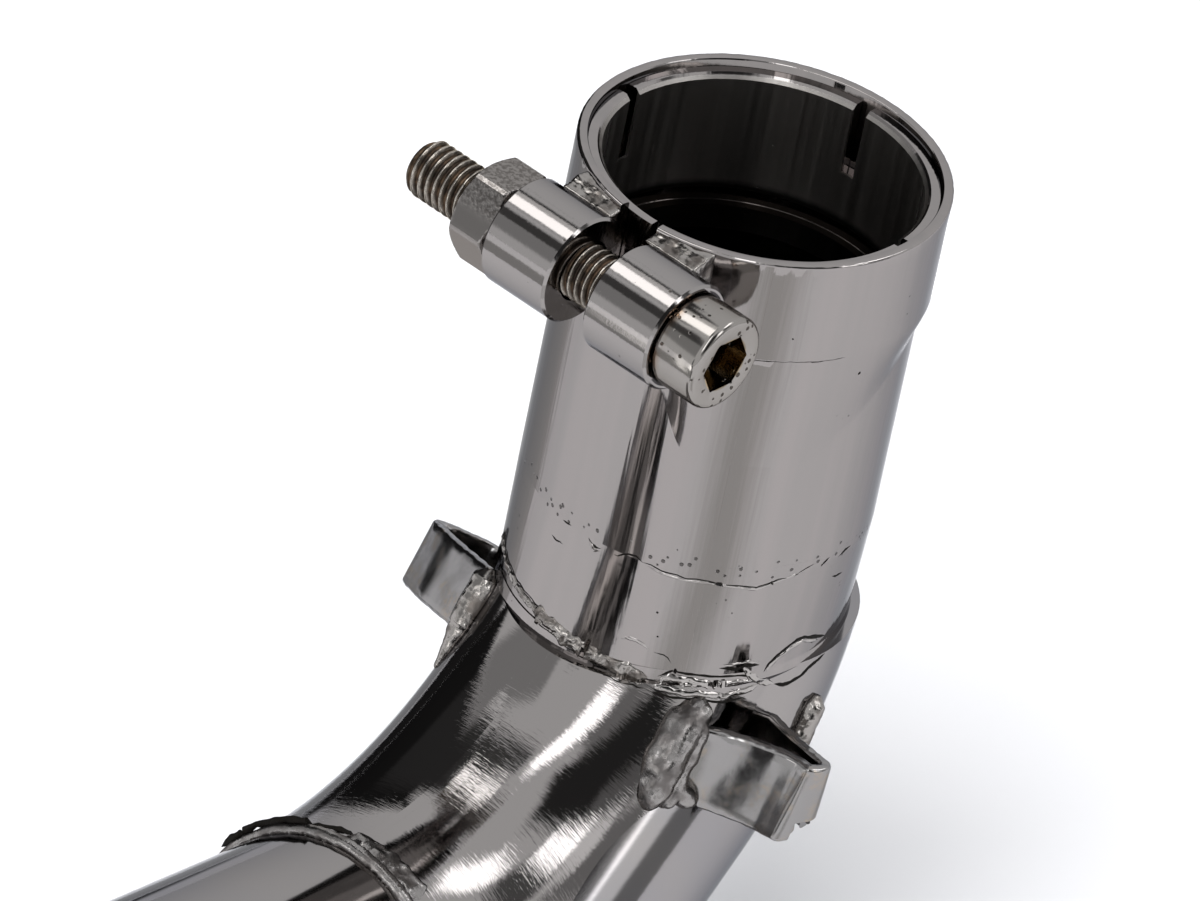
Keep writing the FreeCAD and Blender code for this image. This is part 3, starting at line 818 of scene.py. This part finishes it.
def makeStrap(s):
    base, side, out, along = (Vector(s[k]) for k in ("base", "side", "out", "along"))
    line = outerLine(s)
    half, edge, width = s["thick"] / 2, s["edge"], s["width"]
    section = []
    inner, far = half - edge, width - edge
    for cx, cy, start in ((inner, edge, -90), (inner, far, 0), (-inner, far, 90), (-inner, edge, 180)):
        for k in range(5):
            a = math.radians(start + 90 * k / 4)
            section.append((cx + edge * math.cos(a), cy + edge * math.sin(a)))
        # points along the long faces, so that they can bow
        if start in (-90, 90):
            for k in range(1, 10):
                y = edge + (width - 2 * edge) * k / 10
                section.append((half if start == -90 else -half, y if start == -90 else width - y))
    points = []
    for k, p in enumerate(line):
        step = line[min(k + 1, len(line) - 1)] - line[max(k - 1, 0)]
        for off, y in section:
            share = y / width
            ahead = Vector((step[0], step[1])).lerp(Vector((step[2], step[3])), share).normalized()
            flat = Vector((p[0], p[1])).lerp(Vector((p[2], p[3])), share)
            normal = side * -ahead.y + out * ahead.x
            spot = base + side * flat.x + out * flat.y + along * y + normal * (off - half)
            wobble = s["wave"] * (0.13 * noise.noise(spot * 0.2) + 0.035 * noise.noise(spot * 0.8))
            spot += normal * wobble * (1 if off > 0 else 0.4)
            if y < edge or y > width - edge:
                spot += along * 0.12 * noise.noise(spot)
            points.append(spot)
    columns = len(section)
    faces = ringFaces(len(line), columns) + ringCaps(len(line), columns)
    strapObject = addPiece(s["name"], points, faces, steels["strap"], corner=50)
    if s["notch"]:
        low, high, near, far, level = s["notch"]
        corners = [base + side * a + out * o + along * depth
                   for a in (low, high) for o in (near, far) for depth in (level, width + 3)]
        sides = [(0, 1, 3, 2), (4, 6, 7, 5), (0, 4, 5, 1), (2, 3, 7, 6), (0, 2, 6, 4), (1, 5, 7, 3)]
        cut(strapObject, corners, sides)
    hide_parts(s["node"])


def cut(obj, corners, faces):
    # takes a box away from a piece
    mesh = bpy.data.meshes.new("cutter")
    mesh.from_pydata([c / 1000 for c in corners], [], faces)
    turnOutwards(mesh)
    cutter = bpy.data.objects.new("cutter", mesh)
    bpy.context.scene.collection.objects.link(cutter)
    boolean = obj.modifiers.new("notch", "BOOLEAN")
    boolean.operation = "DIFFERENCE"
    boolean.object = cutter
    depsgraph = bpy.context.evaluated_depsgraph_get()
    final = bpy.data.meshes.new_from_object(obj.evaluated_get(depsgraph))
    obj.modifiers.clear()
    final.name = obj.name
    obj.data = final
    bpy.data.objects.remove(cutter)
    bpy.data.meshes.remove(mesh)


for row in straps:
    makeStrap(row)
print("straps made")


# Welds: balls along a line, melted together, then given grain and ripples
def ballLine(path, radius, spacing, spread, seed, uneven=0.13):
    rng = random.Random(seed)
    balls = []
    for a, b in zip(path[:-1], path[1:]):
        a, b = Vector(a), Vector(b)
        count = max(1, int((b - a).length / spacing))
        for n in range(count):
            jitter = Vector((rng.uniform(-1, 1), rng.uniform(-1, 1), rng.uniform(-1, 1))) * spread
            balls.append((a.lerp(b, n / count) + jitter, radius * rng.uniform(1 - uneven, 1 + uneven)))
    balls.append((Vector(path[-1]), radius * 0.9))
    return balls


def melted(name, parts, voxel, smoothing, grain, material, stands, inflate=0.0):
    # parts are CAD node names or lists of balls (centre, radius), in millimetres
    shape = bmesh.new()
    for part in parts:
        if isinstance(part, str):
            shape.from_mesh(nodes[part].data)
            continue
        for centre, radius in part:
            turn = Matrix.Translation(centre / 1000) @ Matrix.Scale(radius / 1000, 4)
            bmesh.ops.create_icosphere(shape, subdivisions=2, radius=1.0, matrix=turn)
    bmesh.ops.remove_doubles(shape, verts=shape.verts, dist=1e-6)
    mesh = bpy.data.meshes.new(name + "Rough")
    shape.to_mesh(mesh)
    shape.free()
    rough = bpy.data.objects.new(name + "Rough", mesh)
    bpy.context.scene.collection.objects.link(rough)
    remesh = rough.modifiers.new("voxels", "REMESH")
    remesh.mode = "VOXEL"
    remesh.voxel_size = voxel / 1000
    if smoothing:
        smooth = rough.modifiers.new("soften", "SMOOTH")
        smooth.factor = 0.5
        smooth.iterations = smoothing
    depsgraph = bpy.context.evaluated_depsgraph_get()
    final = bpy.data.meshes.new_from_object(rough.evaluated_get(depsgraph))
    final.name = name
    bpy.data.objects.remove(rough)
    bpy.data.meshes.remove(mesh)
    moved = []
    for vertex in final.vertices:
        spot = vertex.co * 1000
        lift = inflate
        for frequency, depth in grain:
            lift += depth * noise.noise(spot * frequency)
        moved.append(vertex.co + vertex.normal * lift / 1000)
    for vertex, co in zip(final.vertices, moved):
        vertex.co = co
    final.materials.clear()
    final.materials.append(material)
    return settle(name, final, stands, None)


# Pad weld: rows of balls as path, radius, spacing, spread, seed and unevenness, and single balls on top
padRows = [
    ([(18.6, -15.6, -69.6), (19.3, -17.6, -70.6), (19.6, -19.2, -72.8), (19.8, -20.8, -75.2), (19.9, -21.9, -77.2),
      (19.6, -22.6, -79.6)], 2.2, 0.5, 0.04, 3, 0.02),
    ([(17.9, -17.6, -70.2), (18.0, -19.3, -72.0), (18.2, -20.8, -74.2), (18.6, -21.9, -76.4), (18.6, -22.6, -79.0)],
     1.9, 0.5, 0.04, 4, 0.02),
    ([(20.6, -16.2, -71.4), (20.9, -17.2, -73.0), (21.0, -18.0, -74.8), (21.0, -19.0, -76.6), (21.2, -19.8, -78.4),
      (21.0, -20.9, -80.2)], 1.25, 0.4, 0.05, 5, 0.03),
]
padKnob = [(Vector((19.4, -15.4, -69.5)), 1.75), (Vector((18.7, -16.4, -69.0)), 1.4)]
padCorner = ([(21.0, -19.6, -78.8), (21.4, -18.4, -80.0), (21.6, -17.2, -81.0)], 1.5, 0.6, 0.1, 6)
# noise on the welds, as frequency per mm and depth in mm
padGrain = [(0.4, 0.3), (1.0, 0.07), (3.0, 0.012)]
beadGrain = [(0.45, 0.22), (1.1, 0.08), (3.2, 0.025)]
lugGrain = [(0.5, 0.22), (1.4, 0.09), (4.0, 0.02)]
seamGrain = [(0.35, 0.2), (1.0, 0.05)]
# name, CAD node, voxel in mm, smoothing steps, grain, steel, slot, inflation in mm
beads = [
    ("frontRearWeld", "front_hook_rear_weld", 0.2, 3, beadGrain, "weld", "bead_weld", 0.12),
    ("leftHookWeld", "left_hook_weld", 0.2, 3, beadGrain, "weld", "bead_weld", 0.12),
    ("leftHookRearWeld", "left_hook_rear_weld", 0.2, 2, beadGrain, "weld", "bead_weld", 0.12),
    ("nutLugWeld", "lug_weld_nut_side", 0.16, 5, lugGrain, "weld", "lug_weld", 0.2),
    ("headLugWeld", "lug_weld_head_side", 0.16, 5, lugGrain, "weld", "lug_weld", 0.2),
    ("leftSeamWeld", "left_seam_weld", 0.26, 9, seamGrain, "pad", "bead_weld", 0.15),
]


def makeWelds():
    rows = [ballLine(*row) for row in padRows] + [padKnob, ballLine(*padCorner)]
    melted("frontPadWeld", rows, 0.22, 10, padGrain, steels["pad"], ["front_hook_weld"])
    for name, node, voxel, smoothing, grain, steel, slot, inflate in beads:
        melted(name, [node], voxel, smoothing, grain, steels[steel], [node], inflate)


makeWelds()
print("welds made")

# Marks on the skin: cracks, burrs and crusts of weld that follow the surface; a crack is a thin near-black strip of
# painted shade
skinNodes = ["socket_tube", "oval_section", "socket_seam_weld", "junction_weld", "left_bend", "right_pipe",
             "left_pipe"]


def makeSkin(objects):
    points, faces = [], []
    for obj in objects:
        mesh = obj.data
        start = len(points)
        points += [v.co * 1000 for v in mesh.vertices]
        faces += [[start + k for k in p.vertices] for p in mesh.polygons]
    return BVHTree.FromPolygons(points, faces)


skin = makeSkin([nodes[name] for name in skinNodes] + [bpy.data.objects["clampBand"]])


def skinAt(azimuth, z):
    # the outermost point of the collar at this side and height
    a = math.radians(azimuth)
    out = Vector((math.sin(a), -math.cos(a), 0))
    return skin.ray_cast(out * 32 + Vector((0, 0, z)), -out)[0]


def skinUnder(point, normal):
    spot, found = skin.ray_cast(point + normal * 1.2, -normal, 3.0)[:2]
    if spot is None or found.dot(normal) < 0.3:
        return point, normal
    return spot, found


def resampled(points, step):
    spaced = [points[0]]
    for p in points[1:]:
        start = spaced[-1]
        count = max(1, round((p - start).length / step))
        spaced += [start.lerp(p, (n + 1) / count) for n in range(count)]
    return spaced


def crust(name, route, half, height, grit, material, shift=0.0, taper=1.2, step=0.22, columns=7,
          wander=0.35, seed=0):
    # a raised strip along a route of (azimuth, z) or (x, y, z) points; short ones get short ends
    spots = [skinAt(*at) if len(at) == 2 else skin.find_nearest(Vector(at))[0] for at in route]
    step = min(step, (spots[-1] - spots[0]).length / 4)
    spots = resampled(spots, step)
    points = []
    last = len(spots) - 1
    taper = min(taper, last * step * 0.35)
    section = columns + 2
    for k, spot in enumerate(spots):
        ahead = (spots[min(k + 1, last)] - spots[max(k - 1, 0)]).normalized()
        near, normal = skin.find_nearest(spot)[:2]
        across = normal.cross(ahead).normalized()
        size = min(1.0, 0.12 + min(k, last - k) * step / taper)
        drift = wander * half * noise.noise(spot * 0.9 + Vector((seed, 0, 0))) + shift
        swell = size * (1 + 0.45 * noise.noise(spot * 0.7 + Vector((0, seed, 3))))
        for c in range(columns):
            u = 2 * c / (columns - 1) - 1
            base, up = skinUnder(near + across * (u * half * swell + drift), normal)
            bump = 0.62 + 0.75 * noise.noise(base * grit + Vector((seed, 5, 0)))
            bump += 0.3 * noise.noise(base * grit * 2.3)
            lift = height * size * (1 - u * u) ** 0.6 * bump if abs(u) < 0.99 else -0.05
            points.append(base + up * lift)
        for u in (0.9, -0.9):
            points.append(near + across * (u * half * swell + drift) - normal * 0.35)
    faces = ringFaces(len(spots), section) + ringCaps(len(spots), section)
    return addPiece(name, points, faces, material, [], 60)


# name, kind, points as azimuth and z (or x, y, z), half width, height
marks = [
    ("crackLeftUpper", "crack", [(-6.8, -49.17), (-5, -49.15), (-2.9, -49.05)], 0.16, 0.05),
    ("crackLeftLower", "crack", [(-9.6, -52.16), (-7.1, -52.35), (-5.4, -52.21), (-4.3, -52.28)], 0.17, 0.05),
    ("notchUpper", "crack", [(4.7, -49.12), (6.2, -49.75), (8.2, -49.9), (9.8, -49.7)], 0.24, 0.05),
    ("notchUpperLip", "burr", [(5.2, -49.5), (7.6, -50.35), (9.6, -50.1)], 0.32, 0.16),
    ("seamRoughEdge", "crack", [(14.6, -49.61), (15.9, -49.64), (17.6, -49.06), (19.3, -48.74), (21.8, -48.61),
        (24.3, -49.2)], 0.2, 0.06),
    ("seamCrackLine", "crack", [(24.3, -49.2), (27.1, -49.15), (31, -49.65), (35.7, -49.65), (38.8, -49.96),
        (42, -49.77), (45.9, -49.81), (50.2, -50.22), (55.7, -50.28), (59.5, -50.52), (62.1, -50.67),
        (65.7, -50.2), (69.4, -49.68), (72.5, -49.68), (76.5, -49.36), (79, -48.83), (82.8, -48.43)], 0.12, 0.05),
    ("seamLip", "burr", [(26, -49.45), (31, -49.95), (38.8, -50.26), (45.9, -50.1), (55.7, -50.6),
        (62.1, -51.0), (69.4, -49.98), (79, -49.1)], 0.2, 0.07),
    ("seamRightUpper", "crack", [(86, -49.16), (89.3, -48.38)], 0.2, 0.07),
    ("seamRightMiddle", "crack", [(94.1, -49.12), (97.9, -48.59), (100.8, -48.62)], 0.2, 0.07),
    ("seamRightLower", "crack", [(94.1, -52.4), (96.8, -52.8), (100.6, -52.9)], 0.2, 0.07),
    ("foldLine", "burr", [(23.1, -60.99), (24.7, -60.6), (27.7, -60.65), (30.2, -61.07), (32.3, -61.72)], 0.3, 0.1),
    ("foldLineLow", "crack", [(33.8, -61.86), (37, -62.03), (38.4, -62.38), (39.9, -63.16)], 0.12, 0.05),
    ("flapEdge", "burr", [(35.6, -66.17), (40.8, -65.23), (45.7, -65.57), (53.9, -66.1), (63.1, -66.19),
        (70.5, -66.7)], 0.62, 0.34),
    ("flapEdgeShade", "crack", [(36.5, -65.3), (40.8, -64.3), (45.7, -64.6), (53.9, -65.0), (63.1, -65.2),
        (70.5, -65.7)], 0.2, 0.05),
    ("flapTear", "crack", [(56, -63.68), (59.3, -63.88), (62.8, -64.12), (65.3, -63.66), (71, -64.12)], 0.34, 0.1),
    ("flapTearLip", "burr", [(57, -63.2), (61, -63.35), (65.3, -63.1), (71, -63.6)], 0.3, 0.2),
    ("archCrack", "crack", [(73.6, -65.43), (75, -64.36), (77.3, -63.32), (80.4, -62.62), (83.1, -62.05),
        (85.3, -61.66), (88.7, -61.59), (93.1, -62.32), (98.9, -63.27), (103.3, -63.96)], 0.34, 0.1),
    ("archLip", "burr", [(74.6, -65.6), (76, -64.7), (78.3, -63.8), (81.4, -63.1), (84.1, -62.6), (88.7, -62.2),
        (93.1, -62.9), (98.9, -63.8)], 0.3, 0.22),
    ("archBranch", "crack", [(93.1, -62.32), (95.2, -63.75)], 0.2, 0.08),
    ("bandCrease", "crack", [(24, -14.75), (34, -14.6), (45, -14.7), (56, -14.55), (66, -14.65), (74, -14.5)
        ], 0.07, 0.03),
    ("bandScratchLong", "crack", [(38, -16.4), (42, -16.6)], 0.08, 0.03),
    ("bandScratchShort", "crack", [(33, -17.6), (35.5, -17.4)], 0.08, 0.03),
    ("bandPitHigh", "crack", [(54.8, -10.9), (55.4, -11.1)], 0.16, 0.04),
    ("bandPitRight", "crack", [(81.0, -17.9), (82.0, -18.1)], 0.3, 0.05),
    ("pitMiddle", "crack", [(32.0, -55.7), (32.5, -56.0)], 0.22, 0.04),
    ("pitLower", "crack", [(33.7, -59.3), (34.2, -59.5)], 0.16, 0.04),
    ("pitRight", "crack", [(108.0, -48.2), (108.8, -48.3)], 0.22, 0.04),
    ("flapFold", "burr", [(14.32, -19.96, -66.24), (15.19, -19.09, -66.41), (16.38, -17.8, -66.8),
        (17.31, -16.58, -67.15), (18.05, -15.25, -67.09), (18.94, -13.61, -67.51), (19.74, -11.84, -68.02),
        (20.34, -9.65, -67.95), (20.88, -6.36, -67.63)], 0.5, 0.22),
    ("flapFoldShade", "crack", [(14.5, -20.3, -67.0), (16.5, -18.1, -67.6), (18.2, -15.5, -67.9),
        (19.9, -12.0, -68.8), (20.9, -8.5, -68.8)], 0.2, 0.05),
    ("sideBlob", "burr", [(20.24, -9.58, -63.77), (20.58, -8.51, -65.17), (20.93, -7.03, -66.73),
        (20.95, -5.44, -67.37), (21.36, -3.81, -68.37)], 0.5, 0.28),
    ("sideRidge", "crack", [(21.4, -3.63, -68.28), (21.81, -2.31, -68.79), (22.05, -0.97, -68.63),
        (22.21, 0.41, -68.3), (22.27, 2.02, -67.34), (22.28, 3.51, -66.82), (22.22, 4.79, -66.23)], 0.34, 0.1),
]


def makeMarks(rows):
    # a crack strip is drawn in the near-black steel, as painted shade
    kinds = dict(crack=("shadeStrip", "ground_weld", 3.0), burr=("burr", "ground_weld", 0.8))
    for k, (name, kind, route, half, height) in enumerate(rows):
        steel, slot, grit = kinds[kind]
        crust(name, route, half, height, grit, steels[steel], seed=k * 7.3)


def makeJunctionCrust():
    # rough weld along the collar's foot, thin at the left and wide in front
    thin = [(-43.5, -61.33), (-35.2, -61.87), (-27.2, -62.4), (-17, -62.86), (-7.2, -63.22), (-2, -63.5)]
    wide = [(-9, -63.2), (-4, -63.4), (1.2, -63.6), (7.2, -64.16), (14.8, -64.55), (21.1, -65.16), (28.2, -65.48),
            (33.5, -65.8)]
    crust("footWeldThin", thin, 0.62, 0.34, 1.7, steels["weld"], columns=9, seed=3)
    crust("footWeldWide", wide, 1.15, 0.45, 0.9, steels["weld"], columns=13, step=0.18, seed=9)
    upper = [(a, z + 0.75) for a, z in thin]
    lower = [(a, z - 1.0) for a, z in wide]
    # near-black strips of painted shade above and below the weld
    crust("footShadeUpper", upper, 0.14, 0.05, 3.0, steels["shadeStrip"], wander=1.6, seed=13)
    crust("footShadeLower", lower, 0.14, 0.05, 3.0, steels["shadeStrip"], wander=1.6, seed=17)


def makeLeftSeam():
    # a rolled lip on top, drawn black in the near-black painted-shade steel, and flat overlapping lobes towards the
    # right branch, with a thin strip of painted shade beside them
    lip = [(2.2, -60.4, -81.5), (-1.02, -60.95, -81.96), (-3.55, -62.33, -82.33), (-6.45, -63.27, -83.74),
           (-9.55, -63.81, -86.08), (-12.26, -64.27, -88.85), (-14.5, -64.6, -92.5)]
    crust("leftSeamLip", lip, 0.48, 0.42, 0.7, steels["shadeStrip"], shift=-0.9, wander=0.5, seed=21)
    lobes = [(1.5, -60.5, -81.5), (5.47, -60.0, -81.5), (8.85, -59.66, -82.08), (11.62, -59.37, -83.02),
             (14.04, -59.39, -84.2)]
    shade = [(x, y + 1.9, z + 0.3) for x, y, z in lobes]
    crust("leftSeamLobes", lobes, 2.1, 0.75, 0.38, steels["pad"], columns=13, wander=0.3, seed=26)
    crust("leftSeamShade", shade, 0.2, 0.08, 2.0, steels["shadeStrip"], wander=1.5, seed=29)


makeMarks(marks)
makeJunctionCrust()
makeLeftSeam()
print("marks made")
